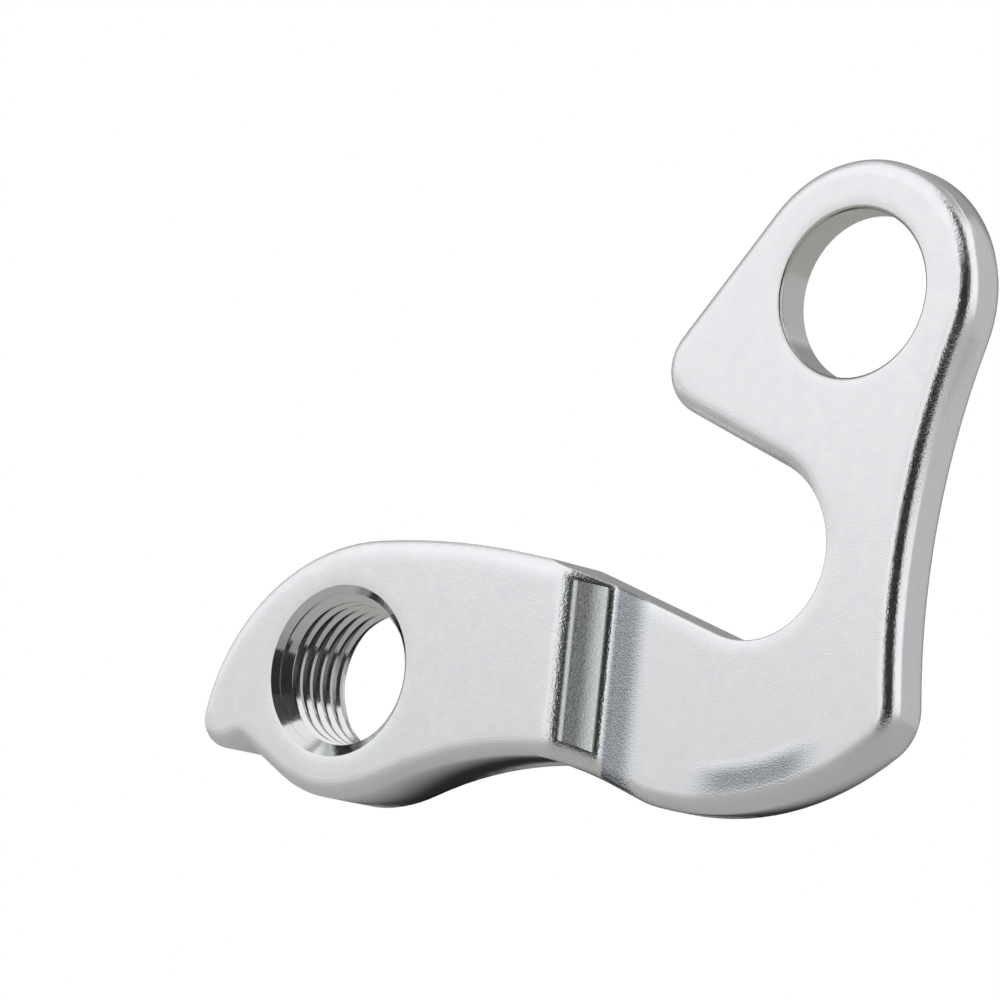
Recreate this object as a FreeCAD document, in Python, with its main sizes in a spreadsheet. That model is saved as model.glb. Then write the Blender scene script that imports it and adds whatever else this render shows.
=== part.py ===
import FreeCAD, Part

import math
import os

import Sketcher
from FreeCAD import Vector

# A bicycle derailleur hanger: one aluminium forging. Its eye is bolted to the frame, its
# slot straddles the wheel axle, and the threaded boss at its free end carries the
# derailleur.
#
# Millimetres, +Z up. The origin is the centre of the eye on the outer face of the arm.
# Every bore runs along Y: -Y is the outer side, which faces away from the wheel, and
# +Y is the inner side, which lies against the frame.

NODE = "hanger"

# Millimetres: ends of an outline closer than this are one point
SAME_POINT = 1e-4
# A wall of the plate has almost no lean to the side; a face has more than this much
WALL_LEAN = 0.02
FACE_LEAN = 0.3

SIZES = [
    # The eye and the arm below it
    ("eye_radius", 8.3, "outside of the eye"),
    ("eye_bore_radius", 5.13, "bore for the sleeve of the frame bolt"),
    ("eye_front_break", 0.25, "broken edge of the bore on the outer face"),
    ("eye_rear_bevel", 1.0, "bevel of the bore on the inner face"),
    ("arm_thickness", 3.5, "arm, from its outer face to the inner face"),
    ("arm_edge", 5.25, "narrowest place of the arm, from the eye's centre to its edge"),
    ("waist_radius", 50.2, "hollow back of the arm"),
    ("hook_x", -10.25, "tip of the hook beside the eye"),
    ("hook_z", -4.25, "tip of the hook, below the eye's centre"),
    ("hook_radius", 3.0, "round tip of the hook"),
    # The milled axle slot and the forged hollow that it is cut from
    ("slot_x", -5.55, "axle centre"),
    ("slot_z", -15.6, "axle centre, below the eye's centre"),
    ("slot_radius", 5.4, "half the width of the slot"),
    ("slot_angle", 20.0, "how steeply the slot rises from the axle to its mouth"),
    ("hollow_across", -0.15, "centre of the hollow, beside the axle centre"),
    ("hollow_up", 1.3, "centre of the hollow, above the axle centre"),
    ("slot_stock", 1.1, "metal that the forging leaves round the hollow for the cutter"),
    # The boss round the thread
    ("boss_x", -34.0, "axis of the derailleur thread"),
    ("boss_z", -23.8, "axis of the derailleur thread, below the eye's centre"),
    ("boss_radius", 7.9, "outside of the boss below the thread"),
    ("boss_height", 1.0, "round pad of the boss on the inner face"),
    ("pad_wall", 1.6, "width of that pad round the thread"),
    ("pad_bevel", 0.5, "bevel round the pad"),
    ("thread_radius", 5.0, "major radius of the M10 thread"),
    ("thread_lead_in", 0.4, "countersink on the outer face"),
    ("thread_lead_out", 0.4, "countersink on the inner face"),
    # The end of the hanger above and behind the thread
    ("shoulder_across", 4.1, "centre of the flat curve over the boss, beside the thread"),
    ("shoulder_radius", 54.0, "flat curve over the boss"),
    ("dome_across", 2.2, "centre of the round behind the boss, beside the thread"),
    ("dome_drop", 5.05, "centre of that round, below the thread"),
    ("dome_extra", 5.5, "how much larger that round is than the boss"),
    ("tab_drop", 3.1, "stop tab, below the thread"),
    ("tab_radius", 1.9, "round tip of the stop tab"),
    ("notch_drop", 2.06, "inner corner under the stop tab, below the tab"),
    ("notch_radius", 0.6, "that corner"),
    # The lower edge, from the boss to the foot of the arm
    ("belly_across", -0.4, "centre of the slow curve below the boss, beside the thread"),
    ("belly_radius", 11.5, "slow curve from the boss to the neck"),
    ("neck_radius", 28.4, "long hollow under the neck"),
    ("knee_across", -8.95, "end of that hollow at the foot, beside the heel"),
    ("knee_drop", 1.14, "centre of that end, below the lowest place of the foot"),
    ("knee_radius", 4.0, "that end"),
    ("heel_x", -9.95, "round at the near end of the foot"),
    ("heel_radius", 7.0, "that round"),
    ("sole_x", -7.7, "long curve under the foot"),
    ("foot_z", -31.45, "lowest place of the foot"),
    ("sole_radius", 19.7, "long curve under the foot"),
    ("toe_radius", 3.3, "corner between the foot and the back of the arm"),
    # The step between the boss and the arm
    ("step_height", 2.8, "how far the boss stands proud of the arm"),
    ("step_x", -18.27, "where the face of the boss ends"),
    ("step_angle", 50.0, "slope of the step"),
    ("crest_radius", 1.6, "round at the top of the step"),
    ("foot_radius", 0.8, "hollow at the foot of the step"),
    # Edges
    ("slot_break", 0.2, "broken edge of the slot on the outer side"),
    ("outer_round", 1.1, "rounded edge of the outer side"),
    ("inner_round", 0.4, "rounded edge of the inner side"),
]


class Size:
    """A sum of sizes from the sheet: its value, and the expression that keeps it tied to them."""

    def __init__(self, sheet, *names):
        self.value = 0.0
        self.source = ""
        for name in names:
            sign = -1 if name.startswith("-") else 1
            word = name.lstrip("-")
            self.value += sign * getattr(sheet, word)
            self.source += f" {'-' if sign < 0 else '+'} Sizes.{word}"


class Round:
    """A round stretch of an outline; bulge is 1 if it bulges out and -1 if it is hollow.

    The radius is a Size. A coordinate of the centre is a Size too, or a plain number where
    it follows from the neighbours.
    """

    def __init__(self, name, bulge, radius, x, z):
        self.name = name
        self.bulge = bulge
        self.radius = radius.value
        self.radius_size = radius
        self.tied = {axis: place for axis, place in (("X", x), ("Y", z)) if isinstance(place, Size)}
        self.x = x.value if "X" in self.tied else x
        self.z = z.value if "Y" in self.tied else z


def make_sheet(document):
    sheet = document.addObject("Spreadsheet::Sheet", "Sizes")
    for row, (name, value, note) in enumerate(SIZES, start=1):
        sheet.set(f"A{row}", name)
        sheet.set(f"B{row}", str(value))
        sheet.set(f"C{row}", note)
        sheet.setAlias(f"B{row}", name)
    document.recompute()
    return sheet


def touching_gap(host, bulge, radius):
    """How far apart the centres of two rounds lie where one runs on into the other."""
    return abs(host.bulge * host.radius - bulge * radius.value)


def follow(host, name, bulge, radius, side, x=None, z=None):
    """A round that runs on from host without a corner.

    One coordinate of its centre is given, and side says on which side of the host's centre
    the other one lies.
    """
    gap = touching_gap(host, bulge, radius)
    if z is None:
        z = host.z + side * math.sqrt(gap**2 - (x.value - host.x) ** 2)
    else:
        x = host.x + side * math.sqrt(gap**2 - (z.value - host.z) ** 2)
    return Round(name, bulge, radius, x, z)


def follow_both(first, second, name, bulge, radius):
    """A round that runs on from the first and into the second, on the right of their line."""
    first_gap = touching_gap(first, bulge, radius)
    second_gap = touching_gap(second, bulge, radius)
    across = second.x - first.x
    up = second.z - first.z
    span = math.hypot(across, up)
    along = (first_gap**2 - second_gap**2 + span**2) / (2 * span)
    off = math.sqrt(first_gap**2 - along**2)
    x = first.x + (along * across + off * up) / span
    z = first.z + (along * up - off * across) / span
    return Round(name, bulge, radius, x, z)


def heading_between(first, second):
    """Direction of the straight line that touches both rounds, metal on its left."""
    across = second.x - first.x
    up = second.z - first.z
    turn = second.bulge * second.radius - first.bulge * first.radius
    share = max(-1.0, min(1.0, turn / math.hypot(across, up)))
    return math.atan2(up, across) - math.asin(share)


def point_on(a_round, heading):
    """Point of a round where its edge runs in the direction heading."""
    reach = a_round.bulge * a_round.radius
    return Vector(
        a_round.x + reach * math.sin(heading), a_round.z - reach * math.cos(heading), 0
    )


def add_arc(sketch, a_round, heading_in, heading_out):
    """Adds the arc of a round and returns its number and the names of its two ends."""
    circle = Part.Circle(Vector(a_round.x, a_round.z, 0), Vector(0, 0, 1), a_round.radius)
    quarter = math.pi / 2
    if a_round.bulge > 0:
        arc = Part.ArcOfCircle(circle, heading_in - quarter, heading_out - quarter)
        return sketch.addGeometry(arc), 1, 2
    arc = Part.ArcOfCircle(circle, heading_out + quarter, heading_in + quarter)
    return sketch.addGeometry(arc), 2, 1


def join(sketch, kind, *places):
    sketch.addConstraint(Sketcher.Constraint(kind, *places))


def bind(sketch, kind, *places, value, source):
    """Adds a size to a sketch and ties it to the sheet."""
    number = sketch.addConstraint(Sketcher.Constraint(kind, *places, value))
    sketch.setExpression(f"Constraints[{number}]", source)


def new_sketch(body, name, plane_role, lift):
    """A sketch on one of the body's own planes, lifted along the plane's normal."""
    sketch = body.newObject("Sketcher::SketchObject", name)
    plane = next(f for f in body.Origin.OriginFeatures if f.Role == plane_role)
    sketch.AttachmentSupport = (plane, [""])
    sketch.MapMode = "FlatFace"
    if lift:
        sketch.setExpression("AttachmentOffset.Base.z", lift)
    return sketch


def add_belt(sketch, rounds):
    """Draws a closed outline like a belt over the rounds: arcs joined by touching lines."""
    count = len(rounds)
    headings = [heading_between(rounds[i - 1], rounds[i]) for i in range(count)]
    pieces = []
    for i, a_round in enumerate(rounds):
        heading_out = headings[(i + 1) % count]
        pieces.append(add_arc(sketch, a_round, headings[i], heading_out))
        following = rounds[(i + 1) % count]
        start = point_on(a_round, heading_out)
        end = point_on(following, heading_out)
        if start.distanceToPoint(end) > SAME_POINT:
            line = sketch.addGeometry(Part.LineSegment(start, end))
            pieces.append((line, 1, 2))
    for i, (piece, _, last) in enumerate(pieces):
        after, first, _ = pieces[(i + 1) % len(pieces)]
        join(sketch, "Tangent", piece, last, after, first)
    arcs = [p[0] for p in pieces if sketch.Geometry[p[0]].TypeId == "Part::GeomArcOfCircle"]
    return dict(zip((r.name for r in rounds), arcs))


def tie(sketch, arc, a_round):
    """Ties the radius of an arc, and what is given of its centre, to the sheet."""
    size = a_round.radius_size
    bind(sketch, "Radius", arc, value=size.value, source=size.source)
    for axis, size in a_round.tied.items():
        bind(sketch, f"Distance{axis}", -1, 1, arc, 3, value=size.value, source=size.source)


def draw_blank(body, sheet):
    """The outline of the forging, seen from its outer side, with the metal on the left."""

    def size(*names):
        return Size(sheet, *names)

    eye = Round("eye", 1, size("eye_radius"), 0.0, 0.0)
    hook = Round("hook", 1, size("hook_radius"), size("hook_x"), size("hook_z"))
    hollow_radius = size("slot_radius", "-slot_stock")
    hollow_x = size("slot_x", "hollow_across")
    hollow = Round("hollow", -1, hollow_radius, hollow_x, size("slot_z", "hollow_up"))

    dome_radius = size("boss_radius", "dome_extra")
    dome_x = size("boss_x", "dome_across")
    dome = Round("dome", 1, dome_radius, dome_x, size("boss_z", "-dome_drop"))
    shoulder_x = size("boss_x", "shoulder_across")
    shoulder = follow(dome, "shoulder", 1, size("shoulder_radius"), -1, x=shoulder_x)
    tab = follow(dome, "tab", 1, size("tab_radius"), -1, z=size("boss_z", "-tab_drop"))
    notch_z = size("boss_z", "-tab_drop", "-notch_drop")
    notch = follow(tab, "notch", -1, size("notch_radius"), 1, z=notch_z)

    boss = Round("boss", 1, size("boss_radius"), size("boss_x"), size("boss_z"))
    belly_x = size("boss_x", "belly_across")
    belly = follow(boss, "belly", 1, size("belly_radius"), 1, x=belly_x)
    knee_x = size("heel_x", "knee_across")
    knee = Round("knee", -1, size("knee_radius"), knee_x, size("foot_z", "-knee_drop"))
    neck = follow_both(belly, knee, "neck", -1, size("neck_radius"))

    sole_z = size("foot_z", "sole_radius")
    sole = Round("sole", 1, size("sole_radius"), size("sole_x"), sole_z)
    heel = follow(sole, "heel", 1, size("heel_radius"), -1, x=size("heel_x"))
    waist_x = size("arm_edge", "waist_radius")
    waist = follow(eye, "waist", -1, size("waist_radius"), -1, x=waist_x)
    toe = follow_both(sole, waist, "toe", 1, size("toe_radius"))

    sketch = new_sketch(body, "BlankOutline", "XZ_Plane", "Sizes.step_height")
    rounds = [eye, hook, hollow, shoulder, dome, tab, notch, boss, belly, neck, knee]
    rounds += [heel, sole, toe, waist]
    arcs = add_belt(sketch, rounds)
    join(sketch, "Coincident", arcs["eye"], 3, -1, 1)
    for a_round in rounds:
        tie(sketch, arcs[a_round.name], a_round)
    return sketch


def draw_slot(body, sheet):
    """The way of the cutter, at one width: from the axle centre until it is over the boss."""
    radius = Size(sheet, "slot_radius")
    slot = Round("slot", -1, radius, Size(sheet, "slot_x"), Size(sheet, "slot_z"))
    reach = Size(sheet, "slot_x", "-boss_x")
    rise = math.radians(sheet.slot_angle)
    mouth_x = slot.x - reach.value * math.cos(rise)
    mouth_z = slot.z + reach.value * math.sin(rise)
    mouth = Round("mouth", -1, radius, mouth_x, mouth_z)

    sketch = new_sketch(body, "SlotOutline", "XZ_Plane", None)
    arcs = add_belt(sketch, [slot, mouth])
    tie(sketch, arcs["slot"], slot)
    join(sketch, "Equal", arcs["slot"], arcs["mouth"])
    across = f"Sizes.slot_x - ({reach.source}) * cos(Sizes.slot_angle * 1 deg)"
    above = f"Sizes.slot_z + ({reach.source}) * sin(Sizes.slot_angle * 1 deg)"
    bind(sketch, "DistanceX", -1, 1, arcs["mouth"], 3, value=mouth_x, source=across)
    bind(sketch, "DistanceY", -1, 1, arcs["mouth"], 3, value=mouth_z, source=above)
    return sketch


def draw_step(body, sheet):
    """Plan view of what is taken off the outer side to set the arm back from the boss."""
    height = sheet.step_height
    slope = math.radians(sheet.step_angle)
    start = sheet.step_x
    up = Vector(0, 0, 1)
    along_slope = Vector(math.sin(slope), -math.cos(slope), 0)
    crest = Vector(start, sheet.crest_radius - height, 0)
    crest_end = crest + sheet.crest_radius * along_slope
    both_radii = sheet.crest_radius + sheet.foot_radius
    run = (height - both_radii * (1 - math.cos(slope))) / math.tan(slope)
    end = start + both_radii * math.sin(slope) + run
    foot = Vector(end, -sheet.foot_radius, 0)
    foot_start = foot - sheet.foot_radius * along_slope
    far = sheet.eye_radius + height
    front = -2 * height

    sketch = new_sketch(body, "StepProfile", "XY_Plane", None)
    right = math.pi / 2
    crest_arc = sketch.addGeometry(
        Part.ArcOfCircle(Part.Circle(crest, up, sheet.crest_radius), -right, slope - right)
    )
    wall = sketch.addGeometry(Part.LineSegment(crest_end, foot_start))
    foot_arc = sketch.addGeometry(
        Part.ArcOfCircle(Part.Circle(foot, up, sheet.foot_radius), right, right + slope)
    )
    corners = [
        Vector(end, 0, 0),
        Vector(far, 0, 0),
        Vector(far, front, 0),
        Vector(start, front, 0),
        Vector(start, -height, 0),
    ]
    lines = [
        sketch.addGeometry(Part.LineSegment(corners[i], corners[i + 1])) for i in range(4)
    ]
    join(sketch, "Tangent", crest_arc, 2, wall, 1)
    join(sketch, "Tangent", wall, 2, foot_arc, 2)
    join(sketch, "Tangent", foot_arc, 1, lines[0], 1)
    for first, second in zip(lines, lines[1:]):
        join(sketch, "Coincident", first, 2, second, 1)
    join(sketch, "Coincident", lines[3], 2, crest_arc, 1)
    join(sketch, "Horizontal", lines[0])
    join(sketch, "Vertical", lines[1])
    join(sketch, "Horizontal", lines[2])
    join(sketch, "Vertical", lines[3])
    join(sketch, "PointOnObject", lines[0], 1, -1)
    join(sketch, "Vertical", crest_arc, 1, crest_arc, 3)
    for arc, name in ((crest_arc, "crest_radius"), (foot_arc, "foot_radius")):
        bind(sketch, "Radius", arc, value=getattr(sheet, name), source=f"Sizes.{name}")
    bind(sketch, "DistanceX", -1, 1, crest_arc, 1, value=start, source="Sizes.step_x")
    bind(sketch, "DistanceY", -1, 1, crest_arc, 1, value=-height, source="-Sizes.step_height")
    bind(sketch, "Angle", wall, value=slope, source="Sizes.step_angle * 1 deg")
    far_source = "Sizes.eye_radius + Sizes.step_height"
    bind(sketch, "DistanceX", -1, 1, lines[1], 1, value=far, source=far_source)
    bind(sketch, "DistanceY", -1, 1, lines[2], 1, value=front, source="-2 * Sizes.step_height")
    return sketch


def draw_circle(body, name, lift, a_round):
    """A circle in the plane of the plate, round the boss's axis or the eye's."""
    sketch = new_sketch(body, name, "XZ_Plane", lift)
    centre = Vector(a_round.x, a_round.z, 0)
    circle = sketch.addGeometry(Part.Circle(centre, Vector(0, 0, 1), a_round.radius))
    tie(sketch, circle, a_round)
    if not a_round.tied:
        join(sketch, "Coincident", circle, 3, -1, 1)
    return sketch


def add_pad(body, name, sketch, length):
    """Metal from a sketch towards the inner side."""
    pad = body.newObject("PartDesign::Pad", name)
    pad.Profile = sketch
    pad.Reversed = True
    pad.setExpression("Length", length)
    return pad


def add_cut(body, name, sketch):
    """A cut right through, to both sides of its sketch; it has to take metal away."""
    document = body.Document
    document.recompute()
    before = body.Shape.Volume
    pocket = body.newObject("PartDesign::Pocket", name)
    pocket.Profile = sketch
    pocket.Type = "ThroughAll"
    pocket.SideType = "Symmetric"
    document.recompute()
    if body.Shape.Volume >= before:
        raise RuntimeError(f"{name} took nothing away")
    return pocket


def normal_beside(face, point):
    u, v = face.Surface.parameter(point)
    return face.normalAt(u, v)


def plate_rim(shape, side):
    """Names of the edges between the walls of the plate and its faces on one side of Y."""
    names = []
    for number, edge in enumerate(shape.Edges, start=1):
        middle = edge.valueAt((edge.FirstParameter + edge.LastParameter) / 2)
        faces = shape.ancestorsOfType(edge, Part.Face)
        leans = sorted((normal_beside(face, middle).y * side for face in faces))
        if len(leans) == 2 and abs(leans[0]) < WALL_LEAN and leans[1] > FACE_LEAN:
            names.append(f"Edge{number}")
    return names


def bore_rim(shape, x, z, radius, y):
    """Name of the round edge of a bore at the height y."""
    for number, edge in enumerate(shape.Edges, start=1):
        curve = edge.Curve
        if curve.TypeId != "Part::GeomCircle" or abs(curve.Radius - radius) > SAME_POINT:
            continue
        if curve.Center.distanceToPoint(Vector(x, y, z)) < SAME_POINT:
            return [f"Edge{number}"]
    raise RuntimeError(f"no rim of radius {radius} at y {y}")


def dress(body, kind, name, edges, size_property, source):
    """Rounds or bevels edges of the body's latest feature."""
    base = body.Tip
    feature = body.newObject(f"PartDesign::{kind}", name)
    feature.Base = (base, edges)
    feature.setExpression(size_property, source)
    body.Document.recompute()
    return feature


def build(document, sheet):
    body = document.addObject("PartDesign::Body", "Hanger")
    body.Label = NODE
    blank_depth = "Sizes.step_height + Sizes.arm_thickness"
    add_pad(body, "Blank", draw_blank(body, sheet), blank_depth)
    add_cut(body, "Step", draw_step(body, sheet))
    dress(body, "Fillet", "OuterRound", plate_rim(body.Shape, -1), "Radius", "Sizes.outer_round")
    dress(body, "Fillet", "InnerRound", plate_rim(body.Shape, 1), "Radius", "Sizes.inner_round")
    add_cut(body, "Slot", draw_slot(body, sheet))
    dress(body, "Fillet", "SlotBreak", plate_rim(body.Shape, -1), "Radius", "Sizes.slot_break")

    boss = (Size(sheet, "boss_x"), Size(sheet, "boss_z"))
    boss_place = (sheet.boss_x, sheet.boss_z)
    back = sheet.arm_thickness + sheet.boss_height
    pad_round = Round("pad", 1, Size(sheet, "thread_radius", "pad_wall"), *boss)
    pad_sketch = draw_circle(body, "PadCircle", "-Sizes.arm_thickness", pad_round)
    add_pad(body, "BossPad", pad_sketch, "Sizes.boss_height")
    document.recompute()
    rim = bore_rim(body.Shape, *boss_place, pad_round.radius, back)
    dress(body, "Chamfer", "PadBevel", rim, "Size", "Sizes.pad_bevel")

    eye_bore = Round("eye_bore", -1, Size(sheet, "eye_bore_radius"), 0.0, 0.0)
    add_cut(body, "EyeBore", draw_circle(body, "EyeCircle", None, eye_bore))
    rim = bore_rim(body.Shape, 0, 0, sheet.eye_bore_radius, 0)
    dress(body, "Chamfer", "EyeFrontBreak", rim, "Size", "Sizes.eye_front_break")
    rim = bore_rim(body.Shape, 0, 0, sheet.eye_bore_radius, sheet.arm_thickness)
    dress(body, "Chamfer", "EyeRearBevel", rim, "Size", "Sizes.eye_rear_bevel")

    thread_bore = Round("thread_bore", -1, Size(sheet, "thread_radius"), *boss)
    add_cut(body, "ThreadBore", draw_circle(body, "ThreadCircle", None, thread_bore))
    rim = bore_rim(body.Shape, *boss_place, sheet.thread_radius, -sheet.step_height)
    dress(body, "Chamfer", "ThreadLeadIn", rim, "Size", "Sizes.thread_lead_in")
    rim = bore_rim(body.Shape, *boss_place, sheet.thread_radius, back)
    dress(body, "Chamfer", "ThreadLeadOut", rim, "Size", "Sizes.thread_lead_out")
    return body


def check(document, body):
    """Stops if any object failed or the finished shape isn't one sound solid."""
    for item in document.Objects:
        if "Invalid" in item.State or "Error" in item.State:
            raise RuntimeError(f"{item.Label} failed: {item.State}")
    shape = body.Shape
    if shape.isNull() or not shape.isValid() or len(shape.Solids) != 1:
        raise RuntimeError(f"{body.Label} isn't one valid solid")


def main():
    document = FreeCAD.newDocument("DerailleurHanger")
    sheet = make_sheet(document)
    body = build(document, sheet)
    document.recompute()
    check(document, body)
    os.makedirs("parts", exist_ok=True)
    body.Shape.exportStep(os.path.join("parts", f"{body.Label}.step"))
    box = body.Shape.optimalBoundingBox(False, False)
    print(f"{body.Label}: {box.XLength:.2f} x {box.YLength:.2f} x {box.ZLength:.2f} mm")
    print(f"volume {body.Shape.Volume:.0f} mm3, {len(body.Shape.Faces)} faces")


main()
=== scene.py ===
# %% [markdown]
# # A bicycle derailleur hanger in Blender
#
# A derailleur hanger is a small forged arm of aluminium that is bolted to the frame beside the rear
# axle and carries the gear changer in a threaded boss. The solid comes from the CAD model, and this
# file gives it what a solid lacks: the tumbled shine of the metal, the tool marks in its holes, the
# turns of the thread, and the light of a studio. Each step says what the real thing is like before
# it makes it.

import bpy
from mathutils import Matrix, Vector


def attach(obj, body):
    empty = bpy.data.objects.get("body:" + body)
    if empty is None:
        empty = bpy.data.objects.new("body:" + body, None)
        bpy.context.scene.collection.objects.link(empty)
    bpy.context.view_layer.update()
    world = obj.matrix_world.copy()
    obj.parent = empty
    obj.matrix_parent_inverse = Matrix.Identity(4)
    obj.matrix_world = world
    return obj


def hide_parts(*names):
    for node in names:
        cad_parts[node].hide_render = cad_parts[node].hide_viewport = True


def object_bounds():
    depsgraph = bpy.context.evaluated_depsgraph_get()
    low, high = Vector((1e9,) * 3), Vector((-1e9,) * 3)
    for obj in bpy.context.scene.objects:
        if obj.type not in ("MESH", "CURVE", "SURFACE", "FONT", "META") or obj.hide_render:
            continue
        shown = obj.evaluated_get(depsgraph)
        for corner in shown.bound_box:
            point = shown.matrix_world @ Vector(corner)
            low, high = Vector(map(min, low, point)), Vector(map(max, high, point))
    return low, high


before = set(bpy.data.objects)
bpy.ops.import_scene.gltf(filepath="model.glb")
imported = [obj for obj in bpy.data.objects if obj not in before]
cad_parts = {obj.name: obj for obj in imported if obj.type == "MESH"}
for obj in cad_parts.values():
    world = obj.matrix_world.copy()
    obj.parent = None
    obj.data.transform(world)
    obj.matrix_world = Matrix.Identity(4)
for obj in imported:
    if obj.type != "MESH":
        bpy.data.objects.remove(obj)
cad_box = [list(corner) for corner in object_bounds()]
print("nodes:", sorted(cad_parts), "box in metres:", cad_box)

# %% The modules that the other cells use, and the millimetre
import math

import bpy
from mathutils import Euler, Vector

MM = 0.001
scene = bpy.context.scene

# %% [markdown]
# ## The camera
#
# The photograph was taken with a long lens from the right and from a little below, so the hanger's
# edges hardly run together. A long lens far away and a short lens close by fill the picture alike,
# but only the right distance gives the right perspective. The distance here comes from the shapes
# of the two round holes, which lie at different depths, so it is kept as it was found.

# %% Place the camera
CAMERA_PLACE = (0.19233, -0.27714, -0.05829)
CAMERA_TURN = (97.437, -5.833, 37.321)
CAMERA_LENS = 206.48
SENSOR_WIDTH = 36.0
NEAREST_SEEN = 10.0 * MM

camera_data = bpy.data.cameras.new("camera")
camera_data.lens = CAMERA_LENS
camera_data.sensor_width = SENSOR_WIDTH
camera_data.clip_start = NEAREST_SEEN
camera = bpy.data.objects.new("camera", camera_data)
scene.collection.objects.link(camera)
camera.location = CAMERA_PLACE
camera.rotation_euler = Euler([math.radians(angle) for angle in CAMERA_TURN], "XYZ")
scene.camera = camera
scene.view_settings.view_transform = "Standard"
print("camera", round(Vector(CAMERA_PLACE).length, 3), "m from the eye of the hanger")

# %% [markdown]
# ## Two small helpers for materials
#
# A hex colour is written as a screen shows it, but Blender mixes light in linear values, so one
# function turns the first into the second. The other adds a node, sets its values and links it, so
# that each material below reads as a list of what the finish is made of.

# %% Turn a hex colour to linear values
def linear(hex_colour):
    """A colour such as "E6E7E8" as the red, green, blue and alpha that a shader mixes.

    The numbers in it are those of the standard curve of screens.
    """
    values = []
    for start in (0, 2, 4):
        part = int(hex_colour[start : start + 2], 16) / 255
        values.append(part / 12.92 if part <= 0.04045 else ((part + 0.055) / 1.055) ** 2.4)
    return (*values, 1.0)


print("white is", linear("FFFFFF"), "and mid grey is", linear("808080"))

# %% Add a node
def add_node(tree, kind, settings=None, values=None, links=None):
    """A node of that kind: settings are its own choices, values and links go into its sockets."""
    node = tree.nodes.new(kind)
    for name, setting in (settings or {}).items():
        setattr(node, name, setting)
    for socket, value in (values or {}).items():
        node.inputs[socket].default_value = value
    for socket, source in (links or {}).items():
        tree.links.new(source, node.inputs[socket])
    return node


print("helper:", add_node.__name__)

# %% [markdown]
# ## The studio
#
# Polished metal has hardly a colour of its own: it shows what stands round it. So the studio comes
# before the metal. It is a white room with a pale floor, two soft lamps, and cards, which are plain
# sheets that a photographer puts up where the metal should look grey or dark. The cards are hidden
# from the camera and from nothing else. They are placed by compass: azimuth 0 is in front of the
# hanger, 90 on its right, and the elevation is measured up from the level.

# %% Make the white room
ROOM_LIGHT = 0.95

world = bpy.data.worlds.new("white_room")
scene.world = world
world.use_nodes = True
world.node_tree.nodes.clear()
light_path = add_node(world.node_tree, "ShaderNodeLightPath")
seen_or_glossy = add_node(
    world.node_tree,
    "ShaderNodeMath",
    {"operation": "MAXIMUM"},
    links={0: light_path.outputs["Is Camera Ray"], 1: light_path.outputs["Is Glossy Ray"]},
)
seen = add_node(
    world.node_tree,
    "ShaderNodeMath",
    {"operation": "MAXIMUM"},
    links={0: seen_or_glossy.outputs[0], 1: light_path.outputs["Is Transmission Ray"]},
)
room_strength = add_node(
    world.node_tree,
    "ShaderNodeMapRange",
    values={"To Min": ROOM_LIGHT, "To Max": 1.0},
    links={"Value": seen.outputs[0]},
)
room = add_node(
    world.node_tree,
    "ShaderNodeBackground",
    values={"Color": (1.0, 1.0, 1.0, 1.0)},
    links={"Strength": room_strength.outputs[0]},
)
add_node(world.node_tree, "ShaderNodeOutputWorld", links={"Surface": room.outputs[0]})
print("the room is white, and lights plain surfaces at", ROOM_LIGHT)

# %% Find the middle of the hanger and directions from it
MIDDLE = Vector([(low + high) / 2 for low, high in zip(*cad_box)])


def towards(azimuth, elevation):
    """The direction from the hanger by compass, as a vector of length 1."""
    side, up = math.radians(azimuth), math.radians(elevation)
    return Vector((math.sin(side) * math.cos(up), -math.cos(side) * math.cos(up), math.sin(up)))


def face_place(thing, azimuth, elevation, distance, place=MIDDLE):
    """Puts a lamp or a card at that direction and distance from a place, turned to it."""
    direction = towards(azimuth, elevation)
    thing.location = place + direction * distance
    thing.rotation_euler = direction.to_track_quat("Z", "Y").to_euler()


def covers(angle, distance):
    """The length that covers that angle in degrees, seen from that distance."""
    return 2 * distance * math.tan(math.radians(angle / 2))


print("the middle is at", [round(value, 4) for value in MIDDLE])

# %% Lay the floor
FLOOR_DROP = 0.12
FLOOR_SIZE = 4.0
FLOOR_CLOUDS = 1 / 3
PAINT_ROUGHNESS = 0.75

floor_material = bpy.data.materials.new("painted_floor")
floor_material.use_nodes = True
tree = floor_material.node_tree
tree.nodes.clear()
place = add_node(tree, "ShaderNodeTexCoord")
cloud = add_node(
    tree,
    "ShaderNodeTexNoise",
    values={"Scale": 1 / FLOOR_CLOUDS, "Detail": 3.0},
    links={"Vector": place.outputs["Object"]},
)
paint = add_node(
    tree,
    "ShaderNodeMix",
    {"data_type": "RGBA"},
    {6: linear("D6D5D1"), 7: linear("DBDAD6")},
    {0: cloud.outputs[0]},
)
floor_shader = add_node(
    tree,
    "ShaderNodeBsdfPrincipled",
    values={"Roughness": PAINT_ROUGHNESS},
    links={"Base Color": paint.outputs[2]},
)
add_node(tree, "ShaderNodeOutputMaterial", links={"Surface": floor_shader.outputs[0]})

bpy.ops.object.select_all(action="DESELECT")
bpy.ops.mesh.primitive_plane_add(
    size=FLOOR_SIZE, location=(MIDDLE.x, MIDDLE.y, cad_box[0][2] - FLOOR_DROP)
)
floor = bpy.context.object
floor.name = "floor"
floor.data.materials.append(floor_material)
print("floor at", round(floor.location.z, 3), "m")
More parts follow.
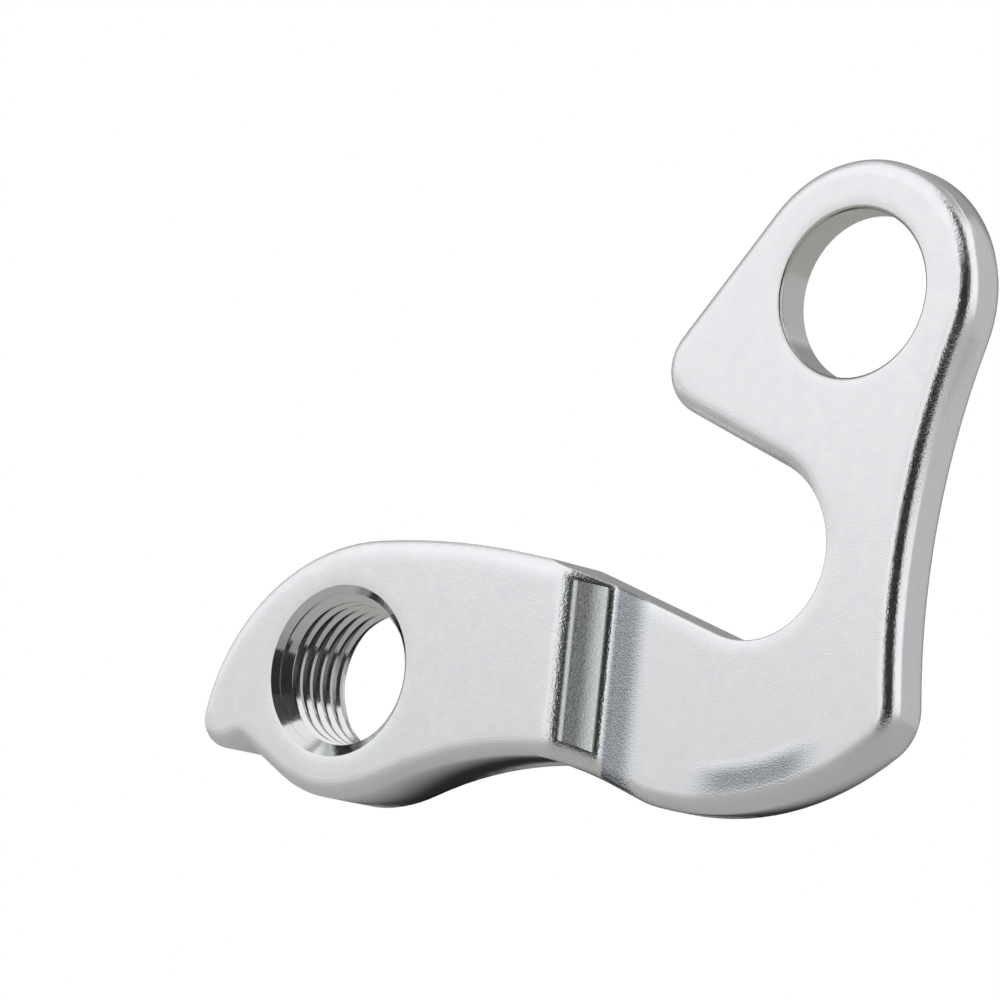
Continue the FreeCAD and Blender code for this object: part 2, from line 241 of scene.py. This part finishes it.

# %% [markdown]
# Each card is a plain sheet that glows evenly, and its width and height are given as the angles
# that it covers. In front stands the dark camera with the tall card over it, which draw the dark
# lines along the edges. The horizon card takes the glare off the flat faces, and the cards behind,
# on the left and overhead shade the walls of the holes and the outer edges. The table card is
# painted shadow: a nearly black sheet close under the hanger that stands in for the shadow of a
# table. Its edge is faded, so the underside gets darker bit by bit in its reflection.

# %% Put up the cards
SOFT_RIM = 0.55
# The next three numbers place a nearly black sheet of painted shadow just under the hanger.
TABLE_SHADOW_DISTANCE = 50.0 * MM
TABLE_SHADOW_GAP = 2.5 * MM
TABLE_SHADOW_PLACE = Vector((-26.0 * MM, 17.5 * MM, cad_box[0][2] - TABLE_SHADOW_GAP + TABLE_SHADOW_DISTANCE))


def put_up_card(
    name, azimuth, elevation, width, height, level, distance, place=MIDDLE, soft=False
):
    """A sheet of that width and height in degrees, as bright as level and unseen by the camera."""
    material = bpy.data.materials.new(name)
    material.use_nodes = True
    card_tree = material.node_tree
    card_tree.nodes.clear()
    sheet = add_node(card_tree, "ShaderNodeEmission", values={"Color": (level, level, level, 1.0)})
    nothing = add_node(card_tree, "ShaderNodeBsdfTransparent")
    unseen = add_node(card_tree, "ShaderNodeLightPath").outputs["Is Camera Ray"]
    if soft:
        spot = add_node(card_tree, "ShaderNodeTexCoord").outputs["Object"]
        doubled = add_node(
            card_tree,
            "ShaderNodeMapping",
            values={"Scale": (2.0, 2.0, 2.0)},
            links={"Vector": spot},
        )
        inwards = add_node(
            card_tree,
            "ShaderNodeTexGradient",
            {"gradient_type": "SPHERICAL"},
            links={"Vector": doubled.outputs[0]},
        )
        outside = add_node(
            card_tree,
            "ShaderNodeMapRange",
            {"interpolation_type": "SMOOTHSTEP"},
            {"From Min": 0.0, "From Max": SOFT_RIM, "To Min": 1.0, "To Max": 0.0},
            {"Value": inwards.outputs["Fac"]},
        )
        unseen = add_node(
            card_tree,
            "ShaderNodeMath",
            {"operation": "MAXIMUM"},
            links={0: unseen, 1: outside.outputs[0]},
        ).outputs[0]
    mixed = add_node(
        card_tree,
        "ShaderNodeMixShader",
        links={0: unseen, 1: sheet.outputs[0], 2: nothing.outputs[0]},
    )
    add_node(card_tree, "ShaderNodeOutputMaterial", links={"Surface": mixed.outputs[0]})
    bpy.ops.object.select_all(action="DESELECT")
    bpy.ops.mesh.primitive_plane_add(size=1.0)
    card = bpy.context.object
    card.name = name
    card.scale = (covers(width, distance), covers(height, distance), 1.0)
    face_place(card, azimuth, elevation, distance, place)
    card.data.materials.append(material)


# Name, azimuth, elevation, width, height, level and distance.
put_up_card("camera_card", 38.5, 7, 57, 46, 0.03, 0.4)
put_up_card("tall_card", 48, 38, 28, 50, 0.06, 0.8)
put_up_card("horizon_card", -42, 0, 60, 13, 0.77, 0.6)
put_up_card("back_left_card", -140, 27, 84, 66, 0.35, 1.0)
put_up_card("side_left_card", -90, 27, 26, 60, 0.55, 1.0)
put_up_card("back_right_card", 152, 16, 56, 44, 0.55, 1.0)
put_up_card("ceiling_card", 180, 78, 54, 44, 0.45, 1.0)
# Painted shadow: a nearly black sheet under the hanger that stands in for the shadow of a table.
put_up_card("table_shadow_card", 180, -90, 62, 46, 0.02, TABLE_SHADOW_DISTANCE, TABLE_SHADOW_PLACE, soft=True)

# %% [markdown]
# The white room gives most of the light. The two lamps are large and faint. One hangs in front of
# the hanger and above it, and one on its right. They lift the edges that face them a little over
# the white of the room, without burning them out.

# %% Hang the lamps
LAMP_DISTANCE = 0.9


def hang_lamp(name, azimuth, elevation, width, height, brightness):
    """A soft lamp of that size in degrees, as bright as that, where 1 is the white of the room."""
    lamp_data = bpy.data.lights.new(name, "AREA")
    lamp_data.shape = "RECTANGLE"
    lamp_data.size = covers(width, LAMP_DISTANCE)
    lamp_data.size_y = covers(height, LAMP_DISTANCE)
    lamp_data.energy = brightness * math.pi * lamp_data.size * lamp_data.size_y
    lamp = bpy.data.objects.new(name, lamp_data)
    scene.collection.objects.link(lamp)
    face_place(lamp, azimuth, elevation, LAMP_DISTANCE)


# Name, azimuth, elevation, width, height and brightness.
hang_lamp("key_lamp", -18, 40, 60, 40, 0.08)
hang_lamp("right_lamp", 108, 30, 46, 44, 0.08)

# %% [markdown]
# ## Tumbled aluminium
#
# The arm is forged from a wrought aluminium alloy and then tumbled: it rolls in a drum with small
# stones until its edges are soft and its skin is bright but not mirror-like. Close up the skin has
# a grain of tiny dents, about a tenth of a millimetre across, which breaks up the reflections, and
# the tone changes a little from place to place. Aluminium is a metal, so its colour is in the
# reflection: a light, slightly cool grey.
#
# Every finish below has a tone, a shine and a height. The height is given to a bump, because dents
# this small would take millions of faces. Two helpers keep the sums short: a mask, which says where
# something is, and one step of arithmetic.

# %% Mask a place and add a sum
def mask(metal_tree, value, inner, outer):
    """1 where the value is under inner, 0 where it is over outer, and a soft step between them."""
    return add_node(
        metal_tree,
        "ShaderNodeMapRange",
        {"interpolation_type": "SMOOTHSTEP"},
        {"From Min": inner, "From Max": outer, "To Min": 1.0, "To Max": 0.0},
        {"Value": value},
    ).outputs[0]


def maths(metal_tree, operation, *parts):
    """The result of one sum whose parts are sockets or numbers."""
    numbers = {place: part for place, part in enumerate(parts) if isinstance(part, float)}
    sockets = {place: part for place, part in enumerate(parts) if not isinstance(part, float)}
    return add_node(metal_tree, "ShaderNodeMath", {"operation": operation}, numbers, sockets).outputs[0]


def squared(metal_tree, value):
    """The value times itself."""
    return maths(metal_tree, "MULTIPLY", value, value)


print("helpers:", mask.__name__, maths.__name__, squared.__name__)

# %% [markdown]
# ## The hollows: rougher skin and painted shade
#
# The stones are too big for the corner beside the step and for the shallow hollow above the foot's
# edge, so there the skin stays rougher, as the forging left it. Both places are also painted a
# greyer, bluish tone, which is painted shade. A mask marks the two places, a straight strip and a
# curved one, each with soft ends. It is made from distances in millimetres, so it stays where it is
# when the hanger moves.

# %% Mark the hollows
# Painted shade: the greyer, bluish tone that the two hollows are painted.
HOLLOW_SHADE_TONE = "ACB1B8"
HOLLOW_DENTS = 14.0
DIP_PLACE = -14.6 * MM
DIP_FADE = (0.7 * MM, 2.4 * MM)
STEP_FADE = (14.8 * MM, 15.2 * MM)
SOLE_CENTRE = (-7.7 * MM, -11.75 * MM)
PATCH_RADIUS = 17.8 * MM
PATCH_FADE = (0.2 * MM, 1.3 * MM)
PATCH_MIDDLE = -3.8 * MM
PATCH_ENDS = (2.0 * MM, 5.2 * MM)
BELOW_SOLE_CENTRE = (-3.0 * MM, 0.0)
FRONT_FADE = (0.3 * MM, 0.5 * MM)


def shaded_rough_hollows(metal_tree, spot):
    """How much painted shade and rougher skin there is: one strip beside the step and one above the
    foot's edge.
    """
    x, y, z = add_node(metal_tree, "ShaderNodeSeparateXYZ", links={"Vector": spot}).outputs[:3]
    beside = maths(metal_tree, "ABSOLUTE", maths(metal_tree, "SUBTRACT", x, DIP_PLACE))
    dip = mask(metal_tree, beside, *DIP_FADE)
    across = maths(metal_tree, "SUBTRACT", x, SOLE_CENTRE[0])
    along = maths(metal_tree, "SUBTRACT", z, SOLE_CENTRE[1])
    squares = maths(metal_tree, "ADD", squared(metal_tree, across), squared(metal_tree, along))
    from_centre = maths(metal_tree, "SQRT", squares)
    off_patch = maths(metal_tree, "ABSOLUTE", maths(metal_tree, "SUBTRACT", from_centre, PATCH_RADIUS))
    off_middle = maths(metal_tree, "ABSOLUTE", maths(metal_tree, "SUBTRACT", x, PATCH_MIDDLE))
    patch = maths(
        metal_tree,
        "MULTIPLY",
        mask(metal_tree, off_patch, *PATCH_FADE),
        mask(metal_tree, off_middle, *PATCH_ENDS),
    )
    patch = maths(metal_tree, "MULTIPLY", patch, mask(metal_tree, along, *BELOW_SOLE_CENTRE))
    past_step = mask(metal_tree, maths(metal_tree, "MULTIPLY", x, -1.0), *STEP_FADE)
    dip = maths(metal_tree, "MULTIPLY", dip, past_step)
    both = maths(metal_tree, "MAXIMUM", dip, patch)
    on_front = mask(metal_tree, maths(metal_tree, "ABSOLUTE", y), *FRONT_FADE)
    return maths(metal_tree, "MULTIPLY", both, on_front)


print("hollows: a strip at x =", DIP_PLACE, "m and an arc of radius", PATCH_RADIUS, "m")

# %% [markdown]
# ## Edges and the wall between them
#
# The stones strike a rounded edge harder than a flat face, so the dents are deeper there, and a
# dark reflection that runs along an edge is speckled. The narrow wall between two edges isn't quite
# flat. It stands out most near the inner side, by some hundredths of a millimetre, so what it
# reflects changes from one edge to the other.

# %% Dent the edges and bulge the wall
EDGE_GRAIN = 2.4
WALL_END = (0.1, 0.4)
FACE_START = (0.85, 0.98)
WALL_SUMMIT = 1.6 * MM
WALL_BULGE = -55.0


def edge_dents(metal_tree):
    """How much deeper the dents are on a rounded edge than on a flat face or a wall."""
    normal = add_node(metal_tree, "ShaderNodeNewGeometry").outputs["Normal"]
    outwards = add_node(metal_tree, "ShaderNodeSeparateXYZ", links={"Vector": normal}).outputs["Y"]
    outwards = maths(metal_tree, "ABSOLUTE", outwards)
    off_wall = maths(metal_tree, "SUBTRACT", 1.0, mask(metal_tree, outwards, *WALL_END))
    edge = maths(metal_tree, "MULTIPLY", mask(metal_tree, outwards, *FACE_START), off_wall)
    return maths(metal_tree, "ADD", maths(metal_tree, "MULTIPLY", edge, EDGE_GRAIN), 1.0)


def bulging_wall(metal_tree, spot):
    """The height of the outer wall, which stands out most near the inner side."""
    y = add_node(metal_tree, "ShaderNodeSeparateXYZ", links={"Vector": spot}).outputs["Y"]
    off_summit = maths(metal_tree, "SUBTRACT", y, WALL_SUMMIT)
    return maths(metal_tree, "MULTIPLY", squared(metal_tree, off_summit), WALL_BULGE)


print("edges have dents", EDGE_GRAIN + 1, "times as deep as a flat face")

# %% [markdown]
# ## The step's wall and the rim of the eye
#
# A die pressed the wall of the step. It has a low ridge under its crest, falls away a little
# towards its foot and turns back just before it, which shows as a bright line, a soft change from
# dark to light and a dark line. The chamfer of the eye is worn round, so only a thin part of it is
# dark. All these are a few hundredths of a millimetre high and change the shine, not the outline.

# %% Shape the pressed wall and the worn rim
WALL_RIDGE = -2.1 * MM
RIDGE_WIDTH = 0.26 * MM
RIDGE_HEIGHT = 0.018 * MM
WALL_MIDDLE = -1.3 * MM
WALL_FALL = -66.0
WALL_FOOT = -0.44 * MM
FOOT_RISE = 800.0
RIM = 0.25 * MM
ROOT_OF_TWO = 1.414
RIM_ROUND = -ROOT_OF_TWO / RIM


def pressed_wall(metal_tree, spot):
    """The height of the step's wall, from the ridge near its top to the turn at its foot."""
    y = add_node(metal_tree, "ShaderNodeSeparateXYZ", links={"Vector": spot}).outputs["Y"]
    off_ridge = maths(metal_tree, "ABSOLUTE", maths(metal_tree, "SUBTRACT", y, WALL_RIDGE))
    ridge = maths(metal_tree, "MULTIPLY", mask(metal_tree, off_ridge, 0.0, RIDGE_WIDTH), RIDGE_HEIGHT)
    below = maths(metal_tree, "MAXIMUM", maths(metal_tree, "SUBTRACT", y, WALL_MIDDLE), 0.0)
    falls = maths(metal_tree, "MULTIPLY", squared(metal_tree, below), WALL_FALL)
    turned = maths(metal_tree, "MAXIMUM", maths(metal_tree, "SUBTRACT", y, WALL_FOOT), 0.0)
    rises = maths(metal_tree, "MULTIPLY", squared(metal_tree, turned), FOOT_RISE)
    return maths(metal_tree, "ADD", maths(metal_tree, "ADD", falls, ridge), rises)


def rounded_rim(metal_tree, spot):
    """The height of the eye's chamfer, which is worn round."""
    y = add_node(metal_tree, "ShaderNodeSeparateXYZ", links={"Vector": spot}).outputs["Y"]
    on_rim = maths(metal_tree, "MINIMUM", maths(metal_tree, "MAXIMUM", y, 0.0), RIM)
    off_middle = maths(metal_tree, "SUBTRACT", on_rim, RIM / 2)
    return maths(metal_tree, "MULTIPLY", squared(metal_tree, off_middle), RIM_ROUND)


print("the ridge is", RIDGE_HEIGHT, "m high and the rim", RIM, "m wide")

# %% [markdown]
# ## One recipe for four finishes
#
# Two noises make a finish. A coarse one shifts the tone between a light and a dark grey, and a fine
# one, the grain, sets both the shine and the dents. Tool marks are the same grain drawn out along
# the tool's path by a stretch. Where an edge should look softer than its true radius, the normal is
# mixed with that of a wider round.

# %% Make an aluminium
GRAIN = 0.13 * MM
TOOL_MARKS = 0.3 * MM
CLOUDS = 1.2 * MM
CLOUD_ROUGHNESS = 0.7
GRAIN_LOW, GRAIN_HIGH = 0.3, 0.7
SOFT_SHARE = 0.25
SOFT_SAMPLES = 8


def make_aluminium(
    name, light_tone, dark_tone, roughness_low, roughness_high, grain, dent_depth,
    stretch=(1.0, 1.0, 1.0), soft_edge=0.0, hollows=None, relief=None, deeper=None,
):
    """Aluminium whose tone and shine change in soft clouds, with a grain of that size."""
    material = bpy.data.materials.new(name)
    material.use_nodes = True
    metal_tree = material.node_tree
    metal_tree.nodes.clear()
    spot = add_node(metal_tree, "ShaderNodeTexCoord").outputs["Object"]
    drawn_out = add_node(
        metal_tree, "ShaderNodeMapping", values={"Scale": stretch}, links={"Vector": spot}
    )
    clouds = add_node(
        metal_tree,
        "ShaderNodeTexNoise",
        values={"Scale": 1 / CLOUDS, "Detail": 4.0, "Roughness": CLOUD_ROUGHNESS},
        links={"Vector": spot},
    )
    grains = add_node(
        metal_tree,
        "ShaderNodeTexNoise",
        values={"Scale": 1 / grain, "Detail": 2.0},
        links={"Vector": drawn_out.outputs[0]},
    )
    tone = add_node(
        metal_tree,
        "ShaderNodeMix",
        {"data_type": "RGBA"},
        {6: linear(dark_tone), 7: linear(light_tone)},
        {0: clouds.outputs[0]},
    ).outputs[2]
    shine = add_node(
        metal_tree,
        "ShaderNodeMapRange",
        values={
            "From Min": GRAIN_LOW,
            "From Max": GRAIN_HIGH,
            "To Min": roughness_low,
            "To Max": roughness_high,
        },
        links={"Value": grains.outputs[0]},
    ).outputs[0]
    height = maths(metal_tree, "MULTIPLY", grains.outputs[0], dent_depth)
    # In the hollows the tone is mixed with a greyer, bluish painted shade, and the dents get deeper.
    if hollows:
        hollow = hollows(metal_tree, spot)
        tone = add_node(
            metal_tree,
            "ShaderNodeMix",
            {"data_type": "RGBA"},
            {7: linear(HOLLOW_SHADE_TONE)},
            {0: hollow, 6: tone},
        ).outputs[2]
        rougher = maths(metal_tree, "MULTIPLY", hollow, HOLLOW_DENTS)
        height = maths(metal_tree, "MULTIPLY", height, maths(metal_tree, "ADD", rougher, 1.0))
    if deeper:
        height = maths(metal_tree, "MULTIPLY", height, deeper(metal_tree))
    if relief:
        height = maths(metal_tree, "ADD", height, relief(metal_tree, spot))
    dents = add_node(
        metal_tree,
        "ShaderNodeBump",
        values={"Strength": 1.0, "Distance": 1.0},
        links={"Height": height},
    )
    if soft_edge:
        rounded = add_node(
            metal_tree, "ShaderNodeBevel", {"samples": SOFT_SAMPLES}, {"Radius": soft_edge}
        )
        facing = add_node(metal_tree, "ShaderNodeNewGeometry").outputs["Normal"]
        softened = add_node(
            metal_tree,
            "ShaderNodeMix",
            {"data_type": "VECTOR"},
            {0: SOFT_SHARE},
            {4: facing, 5: rounded.outputs[0]},
        )
        metal_tree.links.new(softened.outputs[1], dents.inputs["Normal"])
    skin = add_node(
        metal_tree,
        "ShaderNodeBsdfPrincipled",
        values={"Metallic": 1.0},
        links={"Base Color": tone, "Roughness": shine, "Normal": dents.outputs[0]},
    )
    add_node(metal_tree, "ShaderNodeOutputMaterial", links={"Surface": skin.outputs[0]})
    return material


print("grain", GRAIN, "m, tool marks", TOOL_MARKS, "m and clouds", CLOUDS, "m")

# %% Mix the four finishes
ALONG_THE_HOLE = (1.0, 5.0, 1.0)

# Light and dark tone, lowest and highest roughness, size of the grain and depth of its dents.
tumbled = make_aluminium(
    "tumbled_aluminium", "F0F1F3", "E1E3E6", 0.13, 0.21, GRAIN, 0.0065 * MM,
    soft_edge=1.5 * MM, hollows=shaded_rough_hollows, relief=bulging_wall, deeper=edge_dents,
)
pressed = make_aluminium(
    "pressed_aluminium", "E0E4E2", "D0D6D3", 0.19, 0.29, GRAIN, 0.004 * MM, relief=pressed_wall
)
# The milled tone is darker than the tumbled one. On the walls of the eye and the slot this darkness is
# painted shade, while the tool marks are the finish.
milled = make_aluminium(
    "milled_shaded_aluminium", "DFE2DF", "D0D4D0", 0.15, 0.24, TOOL_MARKS, 0.004 * MM,
    stretch=ALONG_THE_HOLE, relief=rounded_rim,
)
tapped = make_aluminium(
    "tapped_aluminium", "E6E7E8", "DADCDC", 0.08, 0.16, TOOL_MARKS, 0.002 * MM,
    stretch=ALONG_THE_HOLE,
)
metals = (tumbled, pressed, milled, tapped)
print("metals:", [metal.name for metal in metals])

# %% [markdown]
# ## The skin of the arm
#
# The holes and the slot are cut after the tumbling, so their walls keep the marks of the cutter. A
# short function tells the finish of a face by where it lies: inside the boss it is tapped, inside
# the eye and along the slot it is milled, on the step's wall it is pressed, and the rest is tumbled.

# %% Which metal a face has
TUMBLED, PRESSED, MILLED, TAPPED = range(4)
EYE = Vector((0.0, 0.0))
EYE_RADIUS = 5.13 * MM
EYE_BEVEL = 1.3 * MM
SLOT = Vector((-5.55 * MM, -15.6 * MM))
SLOT_RADIUS = 5.4 * MM
SLOT_TURN = math.radians(20)
SLOT_WAY = Vector((-math.cos(SLOT_TURN), math.sin(SLOT_TURN)))
THREAD = Vector((-34.0 * MM, -23.8 * MM))
THREAD_RADIUS = 5.0 * MM
THREAD_CHAMFER = 0.4 * MM
STEP_TURN = math.radians(50)
WALL_WAY = Vector((math.sin(STEP_TURN), -math.cos(STEP_TURN), 0.0))
NEAR = 0.05 * MM
ALONG_WALL = 0.9999
FLAT = 0.9
UPRIGHT = 0.01


def metal_number(face):
    """The number of the metal of a face, by where it lies and which way it points."""
    place = Vector((face.center.x, face.center.z))
    if face.normal.dot(WALL_WAY) > ALONG_WALL:
        return PRESSED
    if abs(face.normal.y) > FLAT:
        return TUMBLED
    if (place - THREAD).length < THREAD_RADIUS + THREAD_CHAMFER:
        return TAPPED
    if (place - EYE).length < EYE_RADIUS + EYE_BEVEL:
        return MILLED
    out = max((place - SLOT).dot(SLOT_WAY), 0.0)
    off_slot = abs((place - SLOT - SLOT_WAY * out).length - SLOT_RADIUS)
    return MILLED if off_slot < NEAR and abs(face.normal.y) < UPRIGHT else TUMBLED


print("holes at", EYE, THREAD, "and slot at", SLOT)

# %% [markdown]
# The CAD node is made of loose flat triangles, and bright metal shows any flaw in their shading. A
# copy is merged into one closed mesh, and each corner then takes the direction that the CAD surface
# has there. So a flat face stays flat right up to its rounded edge, and a rounded edge shines as
# one band. The copy stands for the CAD node, which keeps its own mesh.

# %% Copy the CAD node, merge it and shade it smoothly
SAME_POINT = 0.0001 * MM

bpy.ops.object.select_all(action="DESELECT")
skin_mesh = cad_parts["hanger"].data.copy()
hanger_skin = bpy.data.objects.new("hanger_skin", skin_mesh)
scene.collection.objects.link(hanger_skin)
hanger_skin.select_set(True)
bpy.context.view_layer.objects.active = hanger_skin
bpy.ops.mesh.customdata_custom_splitnormals_clear()
bpy.ops.object.mode_set(mode="EDIT")
bpy.ops.mesh.select_all(action="SELECT")
bpy.ops.mesh.remove_doubles(threshold=SAME_POINT)
bpy.ops.object.mode_set(mode="OBJECT")
bpy.ops.object.shade_smooth()
true_normals = hanger_skin.modifiers.new("true_normals", "DATA_TRANSFER")
true_normals.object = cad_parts["hanger"]
true_normals.use_loop_data = True
true_normals.data_types_loops = {"CUSTOM_NORMAL"}
true_normals.loop_mapping = "TOPOLOGY"
bpy.ops.object.modifier_apply(modifier=true_normals.name)
hanger_skin.data.materials.clear()
for metal in metals:
    hanger_skin.data.materials.append(metal)
for face in hanger_skin.data.polygons:
    face.material_index = metal_number(face)
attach(hanger_skin, "root")
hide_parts("hanger")
print("skin:", len(hanger_skin.data.polygons), "faces")

# %% [markdown]
# ## The thread
#
# The boss is tapped for the gear changer's bolt, with a metric fine thread that rises one
# millimetre a turn. The CAD model has a plain hole as wide as the thread's roots. The turns could
# be drawn with a bump, but they catch the light too strongly for that, so they are a real ridge: a
# small profile with the 60 degrees of every metric thread, wound up along the hole by a Screw
# modifier, and cut at both ends by the countersinks.

# %% Wind the thread
PITCH = 1.0 * MM
ROOT_RADIUS = 5.03 * MM
CREST_RADIUS = 4.46 * MM
ROOT_WIDTH = 0.90 * MM
CREST_WIDTH = 0.25 * MM
PROFILE_CORNERS = 4
TURNS = 9
STEPS = 96

bpy.ops.object.select_all(action="DESELECT")
bpy.ops.mesh.primitive_plane_add(size=1.0)
thread = bpy.context.object
thread.name = "thread_turns"
bpy.ops.object.mode_set(mode="EDIT")
bpy.ops.transform.resize(value=(ROOT_RADIUS - CREST_RADIUS, ROOT_WIDTH, 1.0))
bpy.ops.transform.translate(value=((ROOT_RADIUS + CREST_RADIUS) / 2, 0.0, 0.0))
bpy.ops.mesh.delete(type="ONLY_FACE")
bpy.ops.mesh.select_all(action="DESELECT")
bpy.ops.object.mode_set(mode="OBJECT")
for vertex in thread.data.vertices:
    vertex.select = vertex.co.x < (ROOT_RADIUS + CREST_RADIUS) / 2
bpy.ops.object.mode_set(mode="EDIT")
bpy.ops.transform.resize(value=(1.0, CREST_WIDTH / ROOT_WIDTH, 1.0))
bpy.ops.object.mode_set(mode="OBJECT")
wind = thread.modifiers.new("wind", "SCREW")
wind.axis = "Y"
wind.angle = math.radians(360)
wind.screw_offset = PITCH
wind.iterations = TURNS
wind.steps = STEPS
wind.render_steps = STEPS
wind.use_merge_vertices = False
bpy.ops.object.modifier_apply(modifier=wind.name)
bpy.ops.object.mode_set(mode="EDIT")
bpy.ops.mesh.select_all(action="SELECT")
bpy.ops.mesh.fill_holes(sides=PROFILE_CORNERS)
bpy.ops.mesh.normals_make_consistent(inside=False)
bpy.ops.object.mode_set(mode="OBJECT")
thread_ys = [vertex.co.y for vertex in thread.data.vertices]
print("thread wound:", len(thread.data.polygons), "faces,", min(thread_ys), max(thread_ys))

# %% [markdown]
# The winding starts in front of the boss and ends behind it. Two countersinks, cones whose walls
# lean by 45 degrees, take off what stands out and leave the first turn tapering into the chamfer,
# as a tap leaves it in a countersunk hole.

# %% Cut its ends
FIRST_CREST_DEPTH = 0.40 * MM
FRONT_FACE = cad_box[0][1]
REAR_FACE = cad_box[1][1]
OVERSHOOT = 3.0 * MM
CLEARANCE = 0.03 * MM
FLANK_ANGLE = 9

thread.location = (THREAD.x, FRONT_FACE + FIRST_CREST_DEPTH - PITCH, THREAD.y)
bpy.ops.object.transform_apply(location=True, rotation=False, scale=False)


def countersink(face, inwards):
    """Cuts away what lies in front of a 45 degree cone that is as wide as the chamfer at the face."""
    wide = THREAD_RADIUS + THREAD_CHAMFER + CLEARANCE + OVERSHOOT
    bpy.ops.object.select_all(action="DESELECT")
    bpy.ops.mesh.primitive_cone_add(
        vertices=STEPS,
        radius1=wide,
        radius2=0.0,
        depth=wide,
        location=(THREAD.x, face + inwards * (wide / 2 - OVERSHOOT), THREAD.y),
        rotation=(math.radians(-90 * inwards), 0.0, 0.0),
    )
    cutter = bpy.context.object
    cut = thread.modifiers.new("countersink", "BOOLEAN")
    cut.operation = "DIFFERENCE"
    cut.object = cutter
    cut.solver = "EXACT"
    bpy.ops.object.select_all(action="DESELECT")
    thread.select_set(True)
    bpy.context.view_layer.objects.active = thread
    bpy.ops.object.modifier_apply(modifier=cut.name)
    bpy.data.objects.remove(cutter, do_unlink=True)


countersink(FRONT_FACE, 1)
countersink(REAR_FACE, -1)
bpy.ops.object.mode_set(mode="EDIT")
bpy.ops.mesh.select_all(action="SELECT")
bpy.ops.mesh.remove_doubles(threshold=SAME_POINT)
bpy.ops.mesh.normals_make_consistent(inside=False)
bpy.ops.object.mode_set(mode="OBJECT")
bpy.ops.object.shade_smooth_by_angle(angle=math.radians(FLANK_ANGLE))
thread.data.materials.append(tapped)
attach(thread, "root")
thread_ys = [vertex.co.y for vertex in thread.data.vertices]
print("thread cut:", len(thread.data.polygons), "faces,", min(thread_ys), max(thread_ys))
